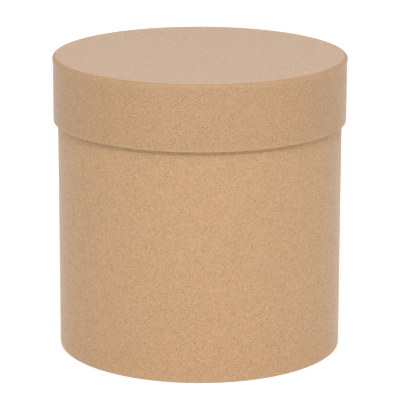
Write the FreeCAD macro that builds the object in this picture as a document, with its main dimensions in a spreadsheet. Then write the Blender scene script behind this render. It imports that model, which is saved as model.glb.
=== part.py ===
import FreeCAD, Part
import os
import re
import Sketcher

# Round lidded flower box (hat box) of greyboard covered with kraft paper, in millimetres.
# The origin is the centre of the underside and +Z points up through the lid.
# The front faces -Y. Every seam is towards the back, +Y.
# The box and the lid are each built from board first, then covered, then lined.

doc = FreeCAD.newDocument("FlowerBox")
sheet = doc.addObject("Spreadsheet::Sheet", "Sizes")

SIZES = {
    # overall
    "total_height": 167.4,
    "body_radius": 80.0,
    "lid_radius": 82.5,
    "lid_depth": 36.9,
    # materials
    "board": 1.5,
    "paper": 0.15,
    # rounding of the covered board edges, measured on the paper's outside
    "foot_round": 0.6,
    "rim_round": 0.55,
    "skirt_round": 0.55,
    "crown_round": 1.5,
    # how far the covering paper is turned over each edge
    "rim_turn_in": 15.0,
    "foot_turn_under": 12.0,
    "skirt_turn_in": 15.0,
    "crown_turn_over": 12.0,
    # discs and linings
    "base_cover_radius": 77.5,
    "lining_drop": 4.0,
    "disc_clearance": 0.25,
    # joints in the boards, their tapes and the lapped seams of the papers
    "butt_gap": 0.2,
    "tape_width": 24.0,
    "tape_margin": 1.0,
    "cover_lap": 12.0,
    "lining_lap": 8.0,
    # where round the box each joint and seam lies, in degrees from +X towards +Y
    "body_joint_at": 62.0,
    "body_lap_at": 90.0,
    "body_lining_lap_at": 118.0,
    "lid_lap_at": 76.0,
    "lid_joint_at": 108.0,
    "lid_lining_lap_at": 128.0,
}
for row, (alias, value) in enumerate(SIZES.items(), start=1):
    sheet.set(f"A{row}", str(value))
    sheet.setAlias(f"A{row}", alias)
doc.recompute()


def bound(expression):
    """An expression in the sheet's names, as the document writes it."""
    return re.sub(r"[a-z]\w*", lambda word: "Sizes." + word.group(0), expression)


def value_of(expression):
    return float(sheet.evalExpression(bound(expression)))


def origin_feature(body, role):
    return next(item for item in body.Origin.OriginFeatures if item.Role == role)


def new_body(label, raised_by):
    """A sub-part whose own profile starts at height 0, raised to its place on the box."""
    body = doc.addObject("PartDesign::Body", label)
    body.Label = label
    if raised_by != "0":
        body.setExpression("Placement.Base.z", bound(raised_by))
    return body


def hold_point(sketch, edge, end, radius, height, name):
    """Fixes one end of an edge at a radius and a height taken from the sheet."""
    for kind, axis, expression, letter in (
        ("DistanceX", -2, radius, "r"),
        ("DistanceY", -1, height, "z"),
    ):
        if expression == "0":
            sketch.addConstraint(Sketcher.Constraint("PointOnObject", edge, end, axis))
            continue
        held = Sketcher.Constraint(kind, -1, 1, edge, end, value_of(expression))
        index = sketch.addConstraint(held)
        sketch.renameConstraint(index, f"{letter}{name}")
        sketch.setExpression(f"Constraints.{letter}{name}", bound(expression))


def step_towards(start, goal):
    """Which way a level or upright run goes from one corner to the next."""
    dr = value_of(goal[0]) - value_of(start[0])
    dz = value_of(goal[1]) - value_of(start[1])
    if abs(dr) > abs(dz):
        return (1 if dr > 0 else -1, 0)
    return (0, 1 if dz > 0 else -1)


def shifted(expression, sign, amount):
    if sign == 0:
        return expression
    return f"{expression} {'+' if sign > 0 else '-'} ({amount})"


def draw_profile(sketch, corners):
    """Draws a closed outline of level and upright runs.

    Each corner is (radius, height) or (radius, height, rounding), in the sheet's names.
    """
    count = len(corners)
    runs = [step_towards(corners[i], corners[(i + 1) % count]) for i in range(count)]
    starts, ends = [], []
    for i, corner in enumerate(corners):
        rounding = corner[2] if len(corner) > 2 else None
        before, after = runs[i - 1], runs[i]
        if rounding:
            ends.append([shifted(corner[k], -before[k], rounding) for k in (0, 1)])
            starts.append([shifted(corner[k], after[k], rounding) for k in (0, 1)])
        else:
            ends.append(list(corner[:2]))
            starts.append(list(corner[:2]))
    for i in range(count):
        head = [value_of(x) for x in starts[i]]
        tail = [value_of(x) for x in ends[(i + 1) % count]]
        run = Part.LineSegment(FreeCAD.Vector(*head, 0), FreeCAD.Vector(*tail, 0))
        sketch.addGeometry(run, False)
    for i, corner in enumerate(corners):
        last_run, next_run = (i - 1) % count, i
        hold_point(sketch, next_run, 1, *starts[i], f"s{i}")
        if len(corner) < 3:
            meet = Sketcher.Constraint("Coincident", last_run, 2, next_run, 1)
            sketch.addConstraint(meet)
            continue
        hold_point(sketch, last_run, 2, *ends[i], f"e{i}")
        add_round(sketch, i, corner[2], ends[i], starts[i], runs[i - 1], last_run, next_run)


def add_round(sketch, i, rounding, head, tail, before, last_run, next_run):
    """A quarter circle between the two runs that meet at corner i."""
    head = FreeCAD.Vector(*[value_of(x) for x in head], 0)
    tail = FreeCAD.Vector(*[value_of(x) for x in tail], 0)
    radius = value_of(rounding)
    # the centre is level with one end and upright over the other
    centre = FreeCAD.Vector(head.x, tail.y, 0) if before[0] else FreeCAD.Vector(tail.x, head.y, 0)
    turn = (head - centre).cross(tail - centre).z
    first, second = (head, tail) if turn > 0 else (tail, head)
    axis = FreeCAD.Vector(0, 0, 1)
    circle = Part.Circle(centre, axis, radius)
    start_angle = circle.parameter(first)
    end_angle = circle.parameter(second)
    arc = sketch.addGeometry(Part.ArcOfCircle(circle, start_angle, end_angle), False)
    first_end, second_end = (1, 2) if turn > 0 else (2, 1)
    sketch.addConstraint(Sketcher.Constraint("Coincident", arc, first_end, last_run, 2))
    sketch.addConstraint(Sketcher.Constraint("Coincident", arc, second_end, next_run, 1))
    index = sketch.addConstraint(Sketcher.Constraint("Radius", arc, radius))
    sketch.renameConstraint(index, f"round{i}")
    sketch.setExpression(f"Constraints.round{i}", bound(rounding))


def turned(body, name, corners, kind="Revolution", at=None, width=None, on_radius=None):
    """Turns a profile about the box's axis: all the way round, or as a band that is
    width wide on a given radius and centred at the given angle."""
    sketch = body.newObject("Sketcher::SketchObject", f"{body.Label}_{name}_profile")
    sketch.AttachmentSupport = (origin_feature(body, "XZ_Plane"), [""])
    sketch.MapMode = "FlatFace"
    if at:
        turn = FreeCAD.Rotation(FreeCAD.Vector(0, 1, 0), value_of(at))
        sketch.AttachmentOffset = FreeCAD.Placement(FreeCAD.Vector(0, 0, 0), turn)
        sketch.setExpression("AttachmentOffset.Rotation.Angle", bound(at))
    draw_profile(sketch, corners)
    feature = body.newObject(f"PartDesign::{kind}", f"{body.Label}_{name}")
    feature.Profile = sketch
    feature.ReferenceAxis = (sketch, ["V_Axis"])
    if at:
        feature.Midplane = True
        feature.setExpression("Angle", f"{bound(width)} / ({bound(on_radius)}) * 180 / pi")
    else:
        feature.Angle = 360
    before = 0 if body.Shape.isNull() else body.Shape.Volume
    doc.recompute()
    if kind == "Groove" and not body.Shape.Volume < before:
        raise RuntimeError(f"{feature.Label} cuts nothing")
    if kind == "Revolution" and not body.Shape.Volume > before:
        raise RuntimeError(f"{feature.Label} adds nothing")
    return feature


def block(inner, outer, low, high):
    return [(inner, low), (outer, low), (outer, high), (inner, high)]


# Radii and heights of the layers of the box, from the outside in and from the foot up.
BODY_BOARD_OUTER = "body_radius - paper"
BODY_BOARD_INNER = "body_radius - paper - board"
BODY_TURN_IN_INNER = "body_radius - 2 * paper - board"
BODY_LINING_INNER = "body_radius - 3 * paper - board"
BODY_LAP_INNER = "body_radius - 4 * paper - board"
FOOT = "2 * paper"
FLOOR = "2 * paper + board"
RIM = "total_height - 3 * paper - board"
BOARD_RIM = "total_height - 4 * paper - board"
TURN_IN_END = "total_height - 3 * paper - board - rim_turn_in"
UNDER_RING_INNER = "body_radius - foot_turn_under"

# The same for the lid, whose own heights start at the lower edge of its skirt.
LID_AT = "total_height - lid_depth"
LID_BOARD_OUTER = "lid_radius - paper"
LID_BOARD_INNER = "lid_radius - paper - board"
LID_TURN_IN_INNER = "lid_radius - 2 * paper - board"
LID_LINING_INNER = "lid_radius - 3 * paper - board"
LID_LAP_INNER = "lid_radius - 4 * paper - board"
CROWN = "lid_depth"
CROWN_PAPER = "lid_depth - paper"
CROWN_BOARD = "lid_depth - 2 * paper"
CEILING_BOARD = "lid_depth - 2 * paper - board"
CEILING = "lid_depth - 3 * paper - board"
OVER_RING_INNER = "lid_radius - crown_turn_over"


def make_body_board():
    """The wall: one greyboard strip rolled to a tube, its ends butted at the back."""
    body = new_body("body_board", "0")
    turned(body, "tube", [
        (BODY_BOARD_INNER, FOOT),
        (BODY_BOARD_OUTER, FOOT, "foot_round - paper"),
        (BODY_BOARD_OUTER, BOARD_RIM, "rim_round - paper"),
        (BODY_BOARD_INNER, BOARD_RIM, "rim_round - paper"),
    ])
    gap = block(f"{BODY_BOARD_INNER} - 1", f"{BODY_BOARD_OUTER} + 1", "0", "total_height")
    turned(body, "butt_joint", gap, "Groove", "body_joint_at", "butt_gap", "body_radius")
    return body


def make_body_joint_tape():
    """Gummed paper tape over the butt joint, on the inside of the tube."""
    body = new_body("body_joint_tape", FLOOR)
    band = block(BODY_TURN_IN_INNER, BODY_BOARD_INNER, "tape_margin", BODY_TAPE_LENGTH)
    turned(body, "band", band, "Revolution", "body_joint_at", "tape_width", "body_radius")
    return body


# The tape stands on the base board, so its heights start at the floor.
BODY_TAPE_LENGTH = "total_height - 5 * paper - 2 * board - rim_turn_in - tape_margin"


def make_base_board():
    """The greyboard disc inside the foot of the tube, flush with its lower edge."""
    body = new_body("base_board", FOOT)
    turned(body, "disc", block("0", BODY_BOARD_INNER, "0", "board"))
    return body


def make_body_wrap():
    """Kraft paper round the wall, turned over the rim and under the foot."""
    body = new_body("body_wrap", "0")
    turned(body, "cover", [
        (UNDER_RING_INNER, "paper"),
        ("body_radius", "paper", "foot_round"),
        ("body_radius", RIM, "rim_round"),
        (BODY_TURN_IN_INNER, RIM, "rim_round"),
        (BODY_TURN_IN_INNER, TURN_IN_END),
        (BODY_BOARD_INNER, TURN_IN_END),
        (BODY_BOARD_INNER, BOARD_RIM, "rim_round - paper"),
        (BODY_BOARD_OUTER, BOARD_RIM, "rim_round - paper"),
        (BODY_BOARD_OUTER, FOOT, "foot_round - paper"),
        (UNDER_RING_INNER, FOOT),
    ])
    # the end of the strip laps over its start and is trimmed clear of both folds
    lap = block("body_radius - paper / 2", "body_radius + paper",
                "paper + foot_round", f"{RIM} - rim_round")
    turned(body, "lap", lap, "Revolution", "body_lap_at", "cover_lap", "body_radius")
    return body


def make_body_lining():
    """The inner paper: it steps over the turned-in cover and the joint tape."""
    body = new_body("body_lining", "0")
    top = f"{RIM} - lining_drop"
    turned(body, "strip", [
        (BODY_TURN_IN_INNER, FLOOR),
        (BODY_BOARD_INNER, FLOOR),
        (BODY_BOARD_INNER, TURN_IN_END),
        (BODY_TURN_IN_INNER, TURN_IN_END),
        (BODY_TURN_IN_INNER, top),
        (BODY_LINING_INNER, top),
        (BODY_LINING_INNER, f"{TURN_IN_END} - paper"),
        (BODY_TURN_IN_INNER, f"{TURN_IN_END} - paper"),
    ])
    over_tape = block(BODY_LINING_INNER, f"{BODY_TURN_IN_INNER} + paper / 2",
                      f"{FLOOR} + tape_margin - paper", f"{TURN_IN_END} - paper")
    turned(body, "over_tape", over_tape, "Revolution",
           "body_joint_at", "(tape_width + 2 * paper)", "body_radius")
    tape = block(BODY_TURN_IN_INNER, f"{BODY_BOARD_INNER} + paper",
                 f"{FLOOR} + tape_margin", f"{TURN_IN_END} - tape_margin")
    turned(body, "tape_room", tape, "Groove", "body_joint_at", "tape_width", "body_radius")
    turned(body, "lap", [
        (BODY_LINING_INNER, FLOOR),
        (f"{BODY_TURN_IN_INNER} + paper / 2", FLOOR),
        (f"{BODY_TURN_IN_INNER} + paper / 2", f"{TURN_IN_END} - paper"),
        (f"{BODY_LINING_INNER} + paper / 2", f"{TURN_IN_END} - paper"),
        (f"{BODY_LINING_INNER} + paper / 2", top),
        (BODY_LAP_INNER, top),
        (BODY_LAP_INNER, f"{TURN_IN_END} - 2 * paper"),
        (BODY_LINING_INNER, f"{TURN_IN_END} - 2 * paper"),
    ], "Revolution", "body_lining_lap_at", "lining_lap", "body_radius")
    return body


def make_base_cover():
    """The paper disc under the foot, stepped down over the turned-under cover."""
    body = new_body("base_cover", "0")
    turned(body, "disc", [
        ("0", "paper"),
        (f"{UNDER_RING_INNER} - paper", "paper"),
        (f"{UNDER_RING_INNER} - paper", "0"),
        ("base_cover_radius", "0"),
        ("base_cover_radius", "paper"),
        (UNDER_RING_INNER, "paper"),
        (UNDER_RING_INNER, FOOT),
        ("0", FOOT),
    ])
    return body


def make_floor_lining():
    """The paper disc on the floor of the box."""
    body = new_body("floor_lining", FLOOR)
    turned(body, "disc", block("0", f"{BODY_LINING_INNER} - disc_clearance", "0", "paper"))
    return body


def make_lid_ring_board():
    """The skirt of the lid: a greyboard ring, butted at the back."""
    body = new_body("lid_ring_board", LID_AT)
    turned(body, "ring", [
        (LID_BOARD_INNER, "paper", "skirt_round - paper"),
        (LID_BOARD_OUTER, "paper", "skirt_round - paper"),
        (LID_BOARD_OUTER, CROWN_BOARD, "crown_round - paper"),
        (LID_BOARD_INNER, CROWN_BOARD),
    ])
    gap = block(f"{LID_BOARD_INNER} - 1", f"{LID_BOARD_OUTER} + 1", "0", "lid_depth")
    turned(body, "butt_joint", gap, "Groove", "lid_joint_at", "butt_gap", "lid_radius")
    return body


def make_lid_joint_tape():
    """Gummed paper tape over the butt joint, on the inside of the ring."""
    body = new_body("lid_joint_tape", LID_AT)
    band = block(LID_TURN_IN_INNER, LID_BOARD_INNER,
                 "skirt_turn_in + tape_margin", f"{CEILING_BOARD} - tape_margin")
    turned(body, "band", band, "Revolution", "lid_joint_at", "tape_width", "lid_radius")
    return body


def make_lid_top_board():
    """The greyboard disc inside the top of the ring, flush with its upper edge."""
    body = new_body("lid_top_board", LID_AT)
    turned(body, "disc", block("0", LID_BOARD_INNER, CEILING_BOARD, CROWN_BOARD))
    return body


def make_lid_wrap():
    """Kraft paper round the skirt, turned under its lower edge and over the crown."""
    body = new_body("lid_wrap", LID_AT)
    turned(body, "cover", [
        (LID_TURN_IN_INNER, "0", "skirt_round"),
        ("lid_radius", "0", "skirt_round"),
        ("lid_radius", CROWN_PAPER, "crown_round"),
        (OVER_RING_INNER, CROWN_PAPER),
        (OVER_RING_INNER, CROWN_BOARD),
        (LID_BOARD_OUTER, CROWN_BOARD, "crown_round - paper"),
        (LID_BOARD_OUTER, "paper", "skirt_round - paper"),
        (LID_BOARD_INNER, "paper", "skirt_round - paper"),
        (LID_BOARD_INNER, "skirt_turn_in"),
        (LID_TURN_IN_INNER, "skirt_turn_in"),
    ])
    lap = block("lid_radius - paper / 2", "lid_radius + paper",
                "skirt_round", f"{CROWN_PAPER} - crown_round")
    turned(body, "lap", lap, "Revolution", "lid_lap_at", "cover_lap", "lid_radius")
    return body


def make_lid_lining():
    """The inner paper of the skirt, stepped over the turn-in and the joint tape."""
    body = new_body("lid_lining", LID_AT)
    turned(body, "strip", [
        (LID_LINING_INNER, "lining_drop"),
        (LID_TURN_IN_INNER, "lining_drop"),
        (LID_TURN_IN_INNER, "skirt_turn_in"),
        (LID_BOARD_INNER, "skirt_turn_in"),
        (LID_BOARD_INNER, CEILING_BOARD),
        (LID_TURN_IN_INNER, CEILING_BOARD),
        (LID_TURN_IN_INNER, "skirt_turn_in + paper"),
        (LID_LINING_INNER, "skirt_turn_in + paper"),
    ])
    over_tape = block(LID_LINING_INNER, f"{LID_TURN_IN_INNER} + paper / 2",
                      "skirt_turn_in + paper", f"{CEILING_BOARD} - tape_margin + paper")
    turned(body, "over_tape", over_tape, "Revolution",
           "lid_joint_at", "(tape_width + 2 * paper)", "lid_radius")
    tape = block(LID_TURN_IN_INNER, f"{LID_BOARD_INNER} + paper",
                 "skirt_turn_in + tape_margin", f"{CEILING_BOARD} - tape_margin")
    turned(body, "tape_room", tape, "Groove", "lid_joint_at", "tape_width", "lid_radius")
    turned(body, "lap", [
        (LID_LAP_INNER, "lining_drop"),
        (f"{LID_LINING_INNER} + paper / 2", "lining_drop"),
        (f"{LID_LINING_INNER} + paper / 2", "skirt_turn_in + paper"),
        (f"{LID_TURN_IN_INNER} + paper / 2", "skirt_turn_in + paper"),
        (f"{LID_TURN_IN_INNER} + paper / 2", CEILING_BOARD),
        (LID_LINING_INNER, CEILING_BOARD),
        (LID_LINING_INNER, "skirt_turn_in + 2 * paper"),
        (LID_LAP_INNER, "skirt_turn_in + 2 * paper"),
    ], "Revolution", "lid_lining_lap_at", "lining_lap", "lid_radius")
    return body


def make_lid_top_paper():
    """The paper disc on the crown, laid over the turned-over edge of the cover."""
    body = new_body("lid_top_paper", LID_AT)
    edge = "lid_radius - crown_round"
    turned(body, "disc", [
        ("0", CROWN_BOARD),
        (OVER_RING_INNER, CROWN_BOARD),
        (OVER_RING_INNER, CROWN_PAPER),
        (edge, CROWN_PAPER),
        (edge, CROWN),
        (f"{OVER_RING_INNER} - paper", CROWN),
        (f"{OVER_RING_INNER} - paper", CROWN_PAPER),
        ("0", CROWN_PAPER),
    ])
    return body


def make_lid_ceiling_lining():
    """The paper disc inside the top of the lid, which rests on the rim of the box."""
    body = new_body("lid_ceiling_lining", LID_AT)
    disc = block("0", f"{LID_LINING_INNER} - disc_clearance", CEILING, CEILING_BOARD)
    turned(body, "disc", disc)
    return body


pieces = [
    make_body_board(),
    make_body_joint_tape(),
    make_base_board(),
    make_body_wrap(),
    make_body_lining(),
    make_base_cover(),
    make_floor_lining(),
    make_lid_ring_board(),
    make_lid_joint_tape(),
    make_lid_top_board(),
    make_lid_wrap(),
    make_lid_lining(),
    make_lid_top_paper(),
    make_lid_ceiling_lining(),
]
doc.recompute()

for item in doc.Objects:
    if "Invalid" in item.State or "Error" in item.State:
        raise RuntimeError(f"{item.Label} failed: {item.State}")
for piece in pieces:
    shape = piece.Shape
    if shape.isNull() or not shape.isValid() or len(shape.Solids) != 1:
        raise RuntimeError(f"{piece.Label} isn't one valid solid")

os.makedirs("parts", exist_ok=True)
for piece in pieces:
    piece.Shape.exportStep(f"parts/{piece.Label}.step")
    box = piece.Shape.BoundBox
    print(f"{piece.Label:20s} {piece.Shape.Volume:11.1f} mm3"
          f"  r {box.XMax:7.3f}  z {box.ZMin:8.3f} to {box.ZMax:8.3f}")
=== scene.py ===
import math

import bmesh
import bpy
import numpy as np
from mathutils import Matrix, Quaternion, Vector


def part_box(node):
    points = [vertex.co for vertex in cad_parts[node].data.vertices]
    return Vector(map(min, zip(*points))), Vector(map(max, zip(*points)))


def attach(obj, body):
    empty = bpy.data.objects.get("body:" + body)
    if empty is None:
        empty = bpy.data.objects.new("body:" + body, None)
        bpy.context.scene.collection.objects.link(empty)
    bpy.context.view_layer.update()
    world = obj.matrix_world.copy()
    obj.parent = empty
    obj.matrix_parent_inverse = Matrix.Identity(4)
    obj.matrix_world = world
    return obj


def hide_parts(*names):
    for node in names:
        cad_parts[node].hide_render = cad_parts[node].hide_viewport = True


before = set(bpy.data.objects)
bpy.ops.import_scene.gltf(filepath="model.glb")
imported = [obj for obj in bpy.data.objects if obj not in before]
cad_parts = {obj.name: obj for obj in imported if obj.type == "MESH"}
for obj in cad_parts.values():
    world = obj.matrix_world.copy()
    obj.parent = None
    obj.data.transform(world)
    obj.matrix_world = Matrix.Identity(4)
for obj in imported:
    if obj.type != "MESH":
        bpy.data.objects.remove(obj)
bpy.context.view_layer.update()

# ---------------------------------------------------------------- sizes, in metres
MM = 0.001
wrap_low, wrap_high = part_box("body_wrap")
lid_low, lid_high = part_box("lid_wrap")
PAPER = wrap_low.z                      # one layer of paper
BODY_R = wrap_high.x                    # outside of the covered wall
RIM_Z = wrap_high.z                     # top of the covered rim
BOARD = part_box("base_board")[1].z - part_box("base_board")[0].z
FLOOR_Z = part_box("base_board")[1].z     # top of the base's board
LID_R = lid_high.x                      # outside of the covered skirt
LID_Z = lid_low.z                       # lower edge of the skirt
CROWN_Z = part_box("lid_top_paper")[1].z  # top of the lid
TOP_PAPER_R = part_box("lid_top_paper")[1].x
CEILING_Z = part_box("lid_ceiling_lining")[0].z
BASE_COVER_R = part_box("base_cover")[1].x
LINING_TOP_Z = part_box("body_lining")[1].z
LID_LINING_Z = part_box("lid_lining")[0].z
BODY_INNER_R = BODY_R - PAPER - BOARD   # inner face of the wall's board
LID_INNER_R = LID_R - PAPER - BOARD     # inner face of the skirt's board

# how far the covers are turned over the edges, and how far each strip laps over its start
TURN_IN = 15 * MM
RING_OVERLAP = 12 * MM
LAP = 12 * MM
LINING_LAP = 8 * MM

# rounding of the folds
FOOT_ROUND = 0.6 * MM
RIM_ROUND = 0.55 * MM
SKIRT_ROUND = 0.3 * MM
CROWN_ROUND = LID_R - TOP_PAPER_R
ARC_STEPS = 8                           # points round each fold
LIP = 0.3 * MM                          # how far the skirt stands out at the top
LIP_DEPTH = 7 * MM                      # how far down that is felt

# the ends of a strip, and the small pleats of a turned-under edge
CLIMB = 1.6 * MM                        # length over which an end climbs onto the start
CLEARANCE = 0.2 * MM                    # the climb is over this far before the start's edge
EDGE_ROW = 0.3 * MM                     # from a cut end to the points next to it
THINNED = 0.02 * MM                     # rise of the lap where it is trimmed to fold
TRIM_RUN = 1.5 * MM                     # length over which the trimming fades
CUT_LINE = 0.5 * MM                     # width of the darker line along the seam
PLEATS = 56                             # round the foot
PLEAT_DEPTH = 0.07 * MM

WELD = 0.0005 * MM                      # points nearer than this are one point
RING_GAP = 0.1 * MM                     # no two rings of a disc lie nearer
SHARP = math.radians(38)                # edges sharper than this aren't shaded smooth
INNER_SHIFT = 0.2                       # the inner face shows another part of the pattern


# ---------------------------------------------------------------- mesh helpers
def waves(count, lowest, highest, size, seed):
    """A smooth, gentle unevenness over angle and height, at most about size."""
    source = np.random.default_rng(seed)
    turns = source.integers(lowest, highest + 1, count)
    rises = source.uniform(-60, 60, count)
    phases = source.uniform(0, 2 * math.pi, count)
    weights = source.uniform(0.4, 1, count) / np.sqrt(turns)
    weights *= size / weights.sum()

    def field(angle, height):
        total = 0
        for turn, rise, phase, weight in zip(turns, rises, phases, weights):
            total = total + weight * np.sin(turn * angle + rise * height + phase)
        return total

    return field


def unit(vector):
    return vector / np.linalg.norm(vector)


def smooth(share):
    """An even ramp from 0 to 1 made gentle at both ends."""
    return share * share * (3 - 2 * share)


def outline(corners, step):
    """Points and outward normals along the outside of a folded sheet.

    Each corner is (radius, height, rounding). Straight runs are cut every step. The first
    and last corners have no rounding.
    """
    spots = [np.array(corner[:2], float) for corner in corners]
    rounds = [corner[2] for corner in corners]
    points, normals = [], []

    def add(point, direction):
        points.append(point)
        normals.append(np.array([direction[1], -direction[0]]))

    last = spots[0]
    for i in range(1, len(spots)):
        direction = unit(spots[i] - spots[i - 1])
        end = spots[i] - direction * rounds[i]
        length = np.linalg.norm(end - last)
        runs = max(1, round(length / step))
        for k in range(runs):
            add(last + direction * length * k / runs, direction)
        last = spots[i]
        if rounds[i]:
            following = unit(spots[i + 1] - spots[i])
            centre = end + following * rounds[i]
            for k in range(ARC_STEPS):
                a = k / ARC_STEPS * math.pi / 2
                add(centre - following * rounds[i] * math.cos(a) + direction * rounds[i] * math.sin(a),
                    direction * math.cos(a) + following * math.sin(a))
            last = spots[i] + following * rounds[i]
    add(last, direction)
    return np.array(points), np.array(normals)


def close_up(mesh):
    """Weld the points that meet at a disc's middle, and turn every face outwards."""
    solid = bmesh.new()
    solid.from_mesh(mesh)
    bmesh.ops.remove_doubles(solid, verts=solid.verts, dist=WELD)
    bmesh.ops.recalc_face_normals(solid, faces=solid.faces)
    if solid.calc_volume(signed=True) < 0:
        bmesh.ops.reverse_faces(solid, faces=solid.faces)
    solid.to_mesh(mesh)
    solid.free()
    mesh.update()


def build(name, outer, inner, sheet, wear_and_shade, closed, body, replaced, material):
    """A closed thin skin from two grids of points: rows along it, columns round the box.

    sheet says where each point lies on the flat sheet. The next grid says how scuffed pale the
    paper is there; below 0 it says how dark the paper is painted, for a darker seam line and
    for painted shade. closed joins the last column to the first.
    """
    rows, columns = outer.shape[:2]
    count = rows * columns
    index = np.arange(count).reshape(rows, columns)
    right = np.roll(index, -1, axis=1) if closed else index[:, 1:]
    left = index if closed else index[:, :-1]

    def cut_edge(a, b):
        """Faces across the thickness. close_up() turns them outwards."""
        return np.stack([a, b, b + count, a + count], -1)

    front = np.stack([left[:-1], right[:-1], right[1:], left[1:]], -1).reshape(-1, 4)
    faces = [front, front[:, ::-1] + count, cut_edge(left[0], right[0]), cut_edge(left[-1], right[-1])]
    if not closed:
        faces += [cut_edge(index[:-1, 0], index[1:, 0]), cut_edge(index[:-1, -1], index[1:, -1])]
    points = np.concatenate([outer.reshape(-1, 3), inner.reshape(-1, 3)])
    mesh = bpy.data.meshes.new(name)
    mesh.from_pydata(points.tolist(), [], np.concatenate(faces).tolist())
    mesh.update()
    place = mesh.attributes.new("sheet", "FLOAT_VECTOR", "POINT")
    flat = np.concatenate([sheet.reshape(-1, 3), sheet.reshape(-1, 3) + [0, 0, INNER_SHIFT]])
    place.data.foreach_set("vector", flat.astype(np.float32).ravel())
    rubbed_and_shaded = mesh.attributes.new("rubbed_and_shaded", "FLOAT", "POINT")
    worn_and_shaded = np.concatenate([wear_and_shade.ravel(), np.zeros(count)])
    rubbed_and_shaded.data.foreach_set("value", worn_and_shaded.astype(np.float32))
    close_up(mesh)
    mesh.polygons.foreach_set("use_smooth", np.ones(len(mesh.polygons), bool))
    mesh.set_sharp_from_angle(angle=SHARP)
    piece = bpy.data.objects.new(name, mesh)
    bpy.context.scene.collection.objects.link(piece)
    piece.data.materials.append(material)
    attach(piece, body)
    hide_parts(*replaced)


def strip(name, corners, seam, lap, step, columns, field, edge_field, body, replaced, material,
          trimmed=None, creases=0, crease_rows=None, flare=None, painted_shade_below=None):
    """A strip of paper glued round the box and over its edges, its end lapped over its start.

    corners and step are as in outline(). seam is the angle of the middle of the lap.
    field is the paper's unevenness and edge_field that of its lapped cut end. trimmed gives the
    two heights between which the lap has its full thickness; without it the lap has that
    all over. creases are small pleats, where crease_rows says. flare says how far the paper
    stands out from its path. Below the height given last, the paper is painted dark: painted shade.
    """
    path, facing = outline(corners, step)
    radius = path[:, 0].max()
    half = lap / radius / 2
    start, end = seam - half, seam + half + 2 * math.pi
    ramp = CLIMB / radius
    climb_end = start + 2 * math.pi - CLEARANCE / radius
    climb_start = climb_end - ramp
    angles = list(np.linspace(start, end, columns)) + list(np.linspace(climb_start, climb_end, 6))
    angles += [end - EDGE_ROW / radius, start + EDGE_ROW / radius]
    for pleat in start + np.arange(creases) * 2 * math.pi / max(creases, 1):
        angles += [pleat + offset * MM / radius for offset in (-0.45, -0.15, 0.15, 0.45)]
    angles = np.unique(np.clip(np.array(angles), start, end))
    angles = angles[np.insert(np.diff(angles) > 1e-6, 0, True)]

    # angle, radius, height, way along the path and normal at each point of the grid
    travelled = np.insert(np.cumsum(np.linalg.norm(np.diff(path, axis=0), axis=1)), 0, 0)
    A, R = np.meshgrid(angles, path[:, 0])
    Z, V, NR, NZ = (np.repeat(column[:, None], len(angles), 1)
                    for column in (path[:, 1], travelled, facing[:, 0], facing[:, 1]))

    # the end of the strip lies on its start, and is trimmed thin where the two are folded
    lift = field(A, Z)
    over = smooth(np.clip((A - climb_start) / (climb_end - climb_start), 0, 1))
    full = np.ones_like(Z)
    if trimmed:
        low, high = trimmed
        full = np.clip((Z - low) / TRIM_RUN, 0, 1) * np.clip((high - Z) / TRIM_RUN, 0, 1)
        full = full * (NR > 0.5)
    lift = lift + over * (THINNED + (PAPER - THINNED) * full)
    if creases:
        near = np.abs(((A - start) / (2 * math.pi) * creases + 0.5) % 1 - 0.5)
        near = near / creases * 2 * math.pi * radius
        depth = np.clip(1 - near / (0.45 * MM), 0, 1)
        lift = lift - PLEAT_DEPTH * depth * crease_rows(R, Z)
    # the cut end that shows isn't quite straight
    wander = edge_field(Z * 40, Z) * np.clip((A - (end - 3 * ramp)) / (3 * ramp), 0, 1)
    A = A + wander / radius
    wider = 0 if flare is None else flare(R, Z)

    def place(offset):
        r = R + wider + NR * (lift - offset)
        z = Z + NZ * (lift - offset)
        return np.stack([r * np.cos(A), r * np.sin(A), z], -1)

    # folds are rubbed pale, the seam's cut end is a darker line, and painted shade darkens the lowest
    # fold
    sheet = np.stack([(A - start) * radius, V, np.zeros_like(A)], -1)
    bend = np.abs(np.gradient(np.arctan2(facing[:, 0], -facing[:, 1])))
    fold = np.convolve(np.clip(bend * 4, 0, 1), np.ones(3) / 3, "same")
    wear_and_shade = np.repeat(fold[:, None], len(angles), 1)
    cut = np.clip((A - end) * radius / CUT_LINE + 1, 0, 1)
    wear_and_shade = np.where(cut > 0, -0.8 * cut, wear_and_shade)
    # painted shade: below the given height the skirt's fold is painted dark, for the shadow line under
    # the lid
    if painted_shade_below is not None:
        wear_and_shade = np.where(Z < painted_shade_below, -1.0, wear_and_shade)
    build(name, place(0), place(PAPER), sheet, wear_and_shade, False, body, replaced, material)


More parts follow.
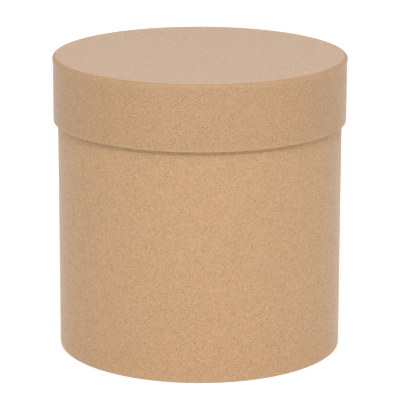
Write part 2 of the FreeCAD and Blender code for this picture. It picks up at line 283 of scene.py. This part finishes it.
def disc(name, radii, height, up, edge, field, body, replaced, material, columns=480,
         creases=0, crease_field=None):
    """A disc of paper whose outer face looks up or down.

    height gives the height of that face at each radius. edge is the unevenness of its
    cut and field that of its face. creases are small pleats, as high as crease_field says.
    """
    side = 1 if up else -1
    angles = np.linspace(0, 2 * math.pi, columns, endpoint=False)
    if creases:
        pleats = np.arange(creases) * 2 * math.pi / creases
        extra = [pleats + k * MM / radii[-1] for k in (-0.6, -0.2, 0.2, 0.6)]
        angles = np.unique(np.concatenate([angles] + extra) % (2 * math.pi))
    radii = np.array(radii)
    A, S = np.meshgrid(angles, radii / radii[-1])
    # only the outermost part follows the slightly uneven cut
    R = S * radii[-1] + edge(A, 0) * np.clip((S - 0.9) / 0.1, 0, 1)
    # the unevenness dies away towards the middle, where all the angles meet in one point
    Z = height(R) + field(A, R) * np.clip(S / 0.1, 0, 1) * side
    if creases:
        near = np.abs((A / (2 * math.pi) * creases + 0.5) % 1 - 0.5)
        near = near / creases * 2 * math.pi * radii[-1]
        ridge = np.clip(1 - near / (0.6 * MM), 0, 1)
        Z = Z + crease_field(R) * ridge * side
    outer = np.stack([R * np.cos(A), R * np.sin(A), Z], -1)
    inner = outer - [0, 0, side * PAPER]
    sheet = np.stack([R * np.cos(A) + 0.5, R * np.sin(A) + 0.3, np.zeros_like(A)], -1)
    wear_and_shade = np.clip((S - 0.994) / 0.006, 0, 1) * 0.8
    if up:
        outer, inner, sheet, wear_and_shade = outer[::-1], inner[::-1], sheet[::-1], wear_and_shade[::-1]
    build(name, outer, inner, sheet, wear_and_shade, True, body, replaced, material)


def lip(radius, height):
    """How far the skirt stands out where its ring meets the top board."""
    below = np.clip((CROWN_Z - CROWN_ROUND - height) / LIP_DEPTH, 0, 1)
    return LIP * (1 - below) ** 3 * (radius > LID_INNER_R)


def stepped(inner_z, outer_z, at, width):
    """The height of a disc that steps from one level to another round a given radius."""
    def height(R):
        return inner_z + (outer_z - inner_z) * smooth(np.clip((R - at + width / 2) / width, 0, 1))
    return height


def rings(radius, *marks):
    """Radii for a disc from its middle, closer together near each mark and near the edge."""
    radii = list(np.linspace(0, radius, 24))
    for mark in marks:
        radii += list(mark + np.linspace(-2, 2, 9) * MM)
    radii += [radius * 0.97, radius - 0.8 * MM, radius - 0.25 * MM]
    radii = sorted(r for r in radii if r <= radius)
    # the edge itself is always kept
    kept = [r for r, following in zip(radii, radii[1:]) if following - r > RING_GAP]
    return kept + [radius]


# ---------------------------------------------------------------- materials
class Tree:
    """The nodes of a material or of the world, with short ways to add to them."""

    def __init__(self, owner):
        owner.use_nodes = True
        self.nodes, self.links = owner.node_tree.nodes, owner.node_tree.links
        self.nodes.clear()

    def add(self, kind, **settings):
        node = self.nodes.new(kind)
        for key, value in settings.items():
            setattr(node, key, value)
        return node

    def put(self, socket, value):
        """Set a socket to a constant, or link another node's output to it."""
        if hasattr(value, "is_output"):
            self.links.new(value, socket)
        else:
            socket.default_value = value

    def shader(self, constants):
        """The surface shader with these constants on its sockets, joined to the output."""
        shader = self.add("ShaderNodeBsdfPrincipled")
        for socket, value in constants.items():
            shader.inputs[socket].default_value = value
        self.put(self.add("ShaderNodeOutputMaterial").inputs[0], shader.outputs[0])
        return shader

    def noise(self, source, cell, detail, angle=0.0):
        """Noise whose cells are (along, across, deep) millimetres, turned by angle."""
        turn = self.add("ShaderNodeMapping", vector_type="TEXTURE")
        self.put(turn.inputs["Vector"], source)
        self.put(turn.inputs["Rotation"], (0, 0, angle))
        self.put(turn.inputs["Scale"], tuple(x * MM for x in cell))
        texture = self.add("ShaderNodeTexNoise")
        self.put(texture.inputs["Vector"], turn.outputs["Vector"])
        self.put(texture.inputs["Scale"], 1.0)
        self.put(texture.inputs["Detail"], detail)
        self.put(texture.inputs["Roughness"], 0.55)
        return texture.outputs["Fac"]

    def between(self, value, low, high, to_low=0.0, to_high=1.0):
        """The value taken smoothly from the range low to high to another range."""
        node = self.add("ShaderNodeMapRange", interpolation_type="SMOOTHSTEP")
        for socket, number in (("Value", value), ("From Min", low), ("From Max", high),
                               ("To Min", to_low), ("To Max", to_high)):
            self.put(node.inputs[socket], number)
        return node.outputs["Result"]

    def maths(self, operation, first, second):
        node = self.add("ShaderNodeMath", operation=operation)
        self.put(node.inputs[0], first)
        self.put(node.inputs[1], second)
        return node.outputs[0]

    def mix(self, share, first, second):
        """Two colours mixed. They are the node's inputs 6 and 7 and its output 2."""
        node = self.add("ShaderNodeMix", data_type="RGBA")
        self.put(node.inputs[0], share)
        for socket, colour in ((node.inputs[6], first), (node.inputs[7], second)):
            self.put(socket, (*colour, 1) if isinstance(colour, tuple) else colour)
        return node.outputs[2]

    def layers(self, colour, *tints):
        """Lay tints over a colour.

        Each is (noise, level where it starts, level where it is strongest, share at the
        start, share at its strongest, tint).
        """
        for source, low, high, least, most, tint in tints:
            colour = self.mix(self.between(source, low, high, least, most), colour, tint)
        return colour

    def bump(self, shader, height, strength, distance):
        node = self.add("ShaderNodeBump")
        self.put(node.inputs["Height"], height)
        self.put(node.inputs["Strength"], strength)
        self.put(node.inputs["Distance"], distance)
        self.put(shader.inputs["Normal"], node.outputs[0])


def shade(colour, *factors):
    """A colour made darker or lighter, by one factor or by one for each channel."""
    factors = factors if len(factors) == 3 else factors * 3
    return tuple(min(1, x * factor) for x, factor in zip(colour, factors))


# flecks and pale fibres: (angle, cell in millimetres, noise level from which they show)
DARK_FLECKS = ((0.4, (1.0, 0.55, 0.5), 0.735), (-0.7, (0.9, 0.4, 0.4), 0.745),
               (1.5, (0.8, 0.6, 0.5), 0.745))
PALE_FIBRES = ((0.9, (1.3, 0.12, 0.3), 0.765), (-0.2, (1.6, 0.1, 0.3), 0.765))
FLECK = (0.16, 0.085, 0.045)
PALE_FIBRE = (0.68, 0.50, 0.34)


def kraft(name, pale, deep, roughness, seed):
    """Unbleached kraft paper: cloudy, with fine fibres, dark shives, scuffed pale folds, darker seam
    lines and painted shade.
    """
    material = bpy.data.materials.new(name)
    tree = Tree(material)
    shader = tree.shader({"IOR": 1.35, "Sheen Weight": 0.19, "Sheen Roughness": 0.27})
    move = tree.add("ShaderNodeMapping")
    tree.put(move.inputs["Location"], (seed * 0.37, seed * 0.11, seed * 0.05))
    tree.put(move.inputs["Vector"],
             tree.add("ShaderNodeAttribute", attribute_name="sheet").outputs["Vector"])
    where = move.outputs["Vector"]

    clouds = tree.noise(where, (9, 6, 6), 3)
    patches = tree.noise(where, (1.5, 1.1, 1.1), 2)
    grain = tree.noise(where, (0.42, 0.34, 0.3), 1)
    speckle = tree.noise(where, (0.23, 0.2, 0.2), 0)
    fibres = tree.noise(where, (1.3, 0.13, 0.12), 1, angle=0.12)
    cross = tree.noise(where, (1.0, 0.12, 0.1), 1, angle=1.25)

    darker = shade(deep, 0.70, 0.67, 0.63)
    lighter = shade(pale, 1.22)
    colour = tree.layers(
        pale,
        (clouds, 0.3, 0.7, 0.15, 0.85, deep),
        (patches, 0.46, 0.7, 0, 0.55, darker),
        (grain, 0.48, 0.72, 0, 1.0, darker),
        (grain, 0.52, 0.28, 0, 1.0, lighter),
        (speckle, 0.5, 0.72, 0, 0.8, darker),
        (speckle, 0.5, 0.28, 0, 0.8, lighter),
        (fibres, 0.58, 0.78, 0, 0.25, lighter),
        (cross, 0.58, 0.78, 0, 0.25, darker),
        *((tree.noise(where, cell, 0, angle), low, low + 0.035, 0, 0.85, FLECK)
          for angle, cell, low in DARK_FLECKS),
        *((tree.noise(where, cell, 0, angle), low, low + 0.05, 0, 0.6, PALE_FIBRE)
          for angle, cell, low in PALE_FIBRES),
    )
    rubbed_and_shaded = tree.add("ShaderNodeAttribute", attribute_name="rubbed_and_shaded").outputs["Fac"]
    uneven = tree.maths("MULTIPLY", rubbed_and_shaded, tree.between(patches, 0.35, 0.65, 0.15, 0.5))
    colour = tree.mix(uneven, colour, lighter)
    # below 0 the paper is painted dark: the seam's cut line, and painted shade on the skirt's lower
    # fold
    colour = tree.layers(colour, (rubbed_and_shaded, 0, -1, 0, 0.9, shade(deep, 0.5, 0.45, 0.38)))
    tree.put(shader.inputs["Base Color"], colour)
    tree.put(shader.inputs["Roughness"],
             tree.between(patches, 0.3, 0.7, roughness - 0.05, roughness + 0.06))
    height = tree.maths("ADD", grain, tree.between(fibres, 0.45, 0.8, 0, 0.6))
    height = tree.maths("ADD", height, tree.between(cross, 0.45, 0.8, 0, 0.5))
    tree.bump(shader, height, 0.5, 0.035 * MM)
    return material


def board(name, pale, deep, roughness):
    """Recycled board: grey-brown pulp with pale and dark scraps of fibre."""
    material = bpy.data.materials.new(name)
    tree = Tree(material)
    shader = tree.shader({})
    where = tree.add("ShaderNodeTexCoord").outputs["Object"]
    clouds = tree.noise(where, (7, 7, 7), 3)
    grain = tree.noise(where, (0.4, 0.4, 0.25), 3)
    scraps = tree.noise(where, (1.4, 0.5, 0.3), 1, angle=0.5)
    plies = tree.noise(where, (12, 12, 0.18), 1)
    tree.put(shader.inputs["Base Color"], tree.layers(
        pale,
        (clouds, 0.3, 0.7, 0, 1, deep),
        (grain, 0.45, 0.8, 0, 0.6, shade(deep, 0.7)),
        (scraps, 0.62, 0.72, 0, 0.6, shade(pale, 1.35)),
        (plies, 0.5, 0.75, 0, 0.3, shade(deep, 0.75)),
    ))
    tree.put(shader.inputs["Roughness"],
             tree.between(grain, 0.3, 0.7, roughness - 0.06, roughness + 0.06))
    tree.bump(shader, grain, 0.7, 0.05 * MM)
    return material


# each paper's pale and deep tone; the top's is paler and greyer than the wall's, painted sheen for the
# top seen at a glancing angle
WALL = (0.570, 0.360, 0.198), (0.530, 0.330, 0.179)
LID = (0.519, 0.328, 0.181), (0.483, 0.303, 0.164)
TOP_WITH_PAINTED_SHEEN = (0.652, 0.450, 0.305), (0.606, 0.415, 0.277)

wall_kraft = kraft("kraft_wall", *WALL, 0.5, 1)
lid_kraft = kraft("kraft_lid", *LID, 0.5, 2)
# painted sheen: the top's kraft is paler and greyer than the wall's, also where it covers the underside
top_kraft_painted_sheen = kraft("kraft_top_painted_sheen", *TOP_WITH_PAINTED_SHEEN, 0.48, 3)
inner_kraft = kraft("kraft_lining", *WALL, 0.6, 4)
greyboard = board("greyboard", (0.40, 0.36, 0.31), (0.30, 0.27, 0.23), 0.9)
tape_paper = board("gummed_tape", (0.52, 0.34, 0.20), (0.47, 0.30, 0.17), 0.5)

for material, names in (
    (greyboard, ("body_board", "base_board", "lid_ring_board", "lid_top_board")),
    (tape_paper, ("body_joint_tape", "lid_joint_tape")),
):
    for node in names:
        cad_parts[node].data.materials.clear()
        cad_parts[node].data.materials.append(material)

# ---------------------------------------------------------------- pieces
# covering of the box: under the foot, up the wall, over the rim and down inside
strip(
    "box_cover",
    [
        (BODY_R - RING_OVERLAP, PAPER, 0),
        (BODY_R, PAPER, FOOT_ROUND),
        (BODY_R, RIM_Z, RIM_ROUND),
        (BODY_INNER_R - PAPER, RIM_Z, RIM_ROUND),
        (BODY_INNER_R - PAPER, RIM_Z - TURN_IN, 0),
    ],
    seam=math.radians(90), lap=LAP, step=3.5 * MM, columns=360,
    field=waves(9, 2, 13, 0.06 * MM, 11), edge_field=waves(4, 1, 4, 0.2 * MM, 12),
    body="box", replaced=["body_wrap"], material=wall_kraft,
    trimmed=(PAPER + FOOT_ROUND, RIM_Z - RIM_ROUND),
    creases=PLEATS, crease_rows=lambda R, Z: (R < BODY_R - 1.2 * MM) * (Z < 0.5 * MM),
)

# lining of the box, from its top edge down over the turned-in cover to the floor
turned_in = RIM_Z - TURN_IN - PAPER
strip(
    "box_lining",
    [
        (BODY_INNER_R - 2 * PAPER, LINING_TOP_Z, 0),
        (BODY_INNER_R - 2 * PAPER, turned_in + 0.2 * MM, 0),
        (BODY_INNER_R - PAPER, turned_in - 1.2 * MM, 0),
        (BODY_INNER_R - PAPER, FLOOR_Z, 0),
    ],
    seam=math.radians(118), lap=LINING_LAP, step=3.5 * MM, columns=420,
    field=waves(9, 2, 13, 0.05 * MM, 21), edge_field=waves(4, 1, 4, 0.2 * MM, 22),
    body="box", replaced=["body_lining"], material=inner_kraft,
)

# covering of the skirt: from inside, under its lower edge, up and over the crown
strip(
    "lid_cover",
    [
        (LID_INNER_R - PAPER, LID_Z + TURN_IN, 0),
        (LID_INNER_R - PAPER, LID_Z, SKIRT_ROUND),
        (LID_R, LID_Z, SKIRT_ROUND),
        (LID_R, CROWN_Z - PAPER, CROWN_ROUND),
        (LID_R - RING_OVERLAP, CROWN_Z - PAPER, 0),
    ],
    seam=math.radians(76), lap=LAP, step=1.2 * MM, columns=460,
    field=waves(9, 2, 13, 0.05 * MM, 31), edge_field=waves(4, 1, 4, 0.2 * MM, 32),
    body="lid", replaced=["lid_wrap"], material=lid_kraft,
    trimmed=(LID_Z + SKIRT_ROUND, CROWN_Z - PAPER - CROWN_ROUND),
    # painted shade on the lower part of the skirt's fold, for the shadow line under the lid
    flare=lip, painted_shade_below=LID_Z + 0.6 * SKIRT_ROUND,
)

# lining of the skirt, from the ceiling down over the turned-in cover
turned_in = LID_Z + TURN_IN + PAPER
strip(
    "lid_side_lining",
    [
        (LID_INNER_R - PAPER, CEILING_Z + PAPER, 0),
        (LID_INNER_R - PAPER, turned_in + 1.2 * MM, 0),
        (LID_INNER_R - 2 * PAPER, turned_in - 0.2 * MM, 0),
        (LID_INNER_R - 2 * PAPER, LID_LINING_Z, 0),
    ],
    seam=math.radians(128), lap=LINING_LAP, step=3 * MM, columns=420,
    field=waves(9, 2, 13, 0.04 * MM, 41), edge_field=waves(4, 1, 4, 0.2 * MM, 42),
    body="lid", replaced=["lid_lining"], material=inner_kraft,
)

# the discs: on the lid, inside it, on the floor of the box and under its foot
over_ring = LID_R - RING_OVERLAP
disc(
    "lid_top_disc", rings(TOP_PAPER_R, over_ring),
    stepped(CROWN_Z - PAPER, CROWN_Z, over_ring - 5 * MM, 10 * MM), up=True,
    edge=waves(7, 2, 15, 0.12 * MM, 51), field=waves(6, 1, 6, 0.03 * MM, 52),
    body="lid", replaced=["lid_top_paper"], material=top_kraft_painted_sheen, columns=540,
)
disc(
    "lid_ceiling", rings(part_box("lid_ceiling_lining")[1].x),
    lambda R: CEILING_Z + 0 * R, up=False,
    edge=waves(7, 2, 15, 0.12 * MM, 61), field=waves(6, 1, 6, 0.02 * MM, 62),
    body="lid", replaced=["lid_ceiling_lining"], material=inner_kraft,
)
disc(
    "box_floor", rings(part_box("floor_lining")[1].x),
    lambda R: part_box("floor_lining")[1].z + 0 * R, up=True,
    edge=waves(7, 2, 15, 0.12 * MM, 71), field=waves(6, 1, 6, 0.03 * MM, 72),
    body="box", replaced=["floor_lining"], material=inner_kraft,
)
under_ring = BODY_R - RING_OVERLAP
disc(
    "box_underside", rings(BASE_COVER_R, under_ring),
    stepped(PAPER, 0.03 * MM, under_ring, 2.4 * MM), up=False,
    edge=waves(7, 2, 15, 0.15 * MM, 81), field=waves(6, 1, 6, 0.015 * MM, 82),
    # the underside takes the top's kraft, paler and greyer with painted sheen
    body="box", replaced=["base_cover"], material=top_kraft_painted_sheen, columns=420,
    creases=PLEATS, crease_field=lambda R: -0.05 * MM * (R > under_ring + 1 * MM),
)

# ---------------------------------------------------------------- stage and light
FLOOR_HALF = 6.0
FLOOR_GLOW = 0.41
mesh = bpy.data.meshes.new("floor")
mesh.from_pydata([(x * FLOOR_HALF, y * FLOOR_HALF, 0) for x, y in ((-1, -1), (1, -1), (1, 1), (-1, 1))],
                 [], [(0, 1, 2, 3)])
floor = bpy.data.objects.new("floor", mesh)
sweep = bpy.data.materials.new("white_sweep")
Tree(sweep).shader({
    "Base Color": (0.9, 0.9, 0.9, 1), "Roughness": 0.8, "Specular IOR Level": 0.1,
    "Emission Color": (1, 1, 1, 1), "Emission Strength": FLOOR_GLOW,
})
floor.data.materials.append(sweep)
bpy.context.scene.collection.objects.link(floor)

AIM = Vector((0, 0, 0.1))
# each lamp's name, place, width, height and power, in metres and watts
for name, place, wide, tall, power in (
    ("front_softbox", (0, -1.77, 1.74), 1.2, 0.4, 20.0),
    ("upper_softbox", (0, -1.4, 2.1), 1.2, 0.5, 4.5),
    ("left_softbox", (-1.3, -1.3, 1.7), 1.0, 0.5, 3.3),
    ("right_softbox", (1.35, -1.35, 1.55), 1.0, 0.5, 6.0),
):
    lamp = bpy.data.lights.new(name, "AREA")
    lamp.shape = "RECTANGLE"
    lamp.size, lamp.size_y, lamp.energy = wide, tall, power
    holder = bpy.data.objects.new(name, lamp)
    holder.location = place
    holder.rotation_euler = (AIM - Vector(place)).to_track_quat("-Z", "Y").to_euler()
    bpy.context.scene.collection.objects.link(holder)

world = bpy.data.worlds.new("studio")
bpy.context.scene.world = world
studio = Tree(world)
sky = studio.add("ShaderNodeVectorMath", operation="NORMALIZE")
studio.put(sky.inputs[0], studio.add("ShaderNodeTexCoord").outputs["Generated"])


def lobe(direction, strength):
    """Soft light from one side of the studio, strongest along that direction."""
    facing = studio.add("ShaderNodeVectorMath", operation="DOT_PRODUCT")
    studio.put(facing.inputs[0], sky.outputs["Vector"])
    studio.put(facing.inputs[1], direction)
    ahead = studio.maths("MAXIMUM", facing.outputs["Value"], 0)
    return studio.maths("MULTIPLY", studio.maths("POWER", ahead, 3), strength)


background = studio.add("ShaderNodeBackground")
studio.put(background.inputs["Color"],
           studio.maths("ADD", lobe((0, 1, 0), 0.93), lobe((0, 0, 1), 1.38)))
studio.put(studio.add("ShaderNodeOutputWorld").inputs[0], background.outputs[0])

# ---------------------------------------------------------------- camera
view = bpy.context.scene.view_settings
view.view_transform = "Standard"
view.look = "None"
view.exposure = 0
view.gamma = 1

FRAME = 400                             # pixels across the picture
SENSOR = 36                             # millimetres
FOCAL = 2492.6                          # pixels
ELEVATION = math.radians(14.816)
ROLL = math.radians(0.11)
DISTANCE = 17.732 * BODY_R
target = Vector((0, 0, CROWN_Z / 2))
camera = bpy.data.objects.new("camera", bpy.data.cameras.new("camera"))
camera.data.sensor_width = SENSOR
camera.data.lens = FOCAL / FRAME * SENSOR
camera.data.shift_x = 0.30 / FRAME
camera.data.shift_y = -1.75 / FRAME
camera.data.clip_start = 0.05
camera.location = target + DISTANCE * Vector((0, -math.cos(ELEVATION), math.sin(ELEVATION)))
aim = (target - camera.location).to_track_quat("-Z", "Y")
camera.rotation_euler = (aim @ Quaternion((0, 0, 1), ROLL)).to_euler()
bpy.context.scene.collection.objects.link(camera)
bpy.context.scene.camera = camera
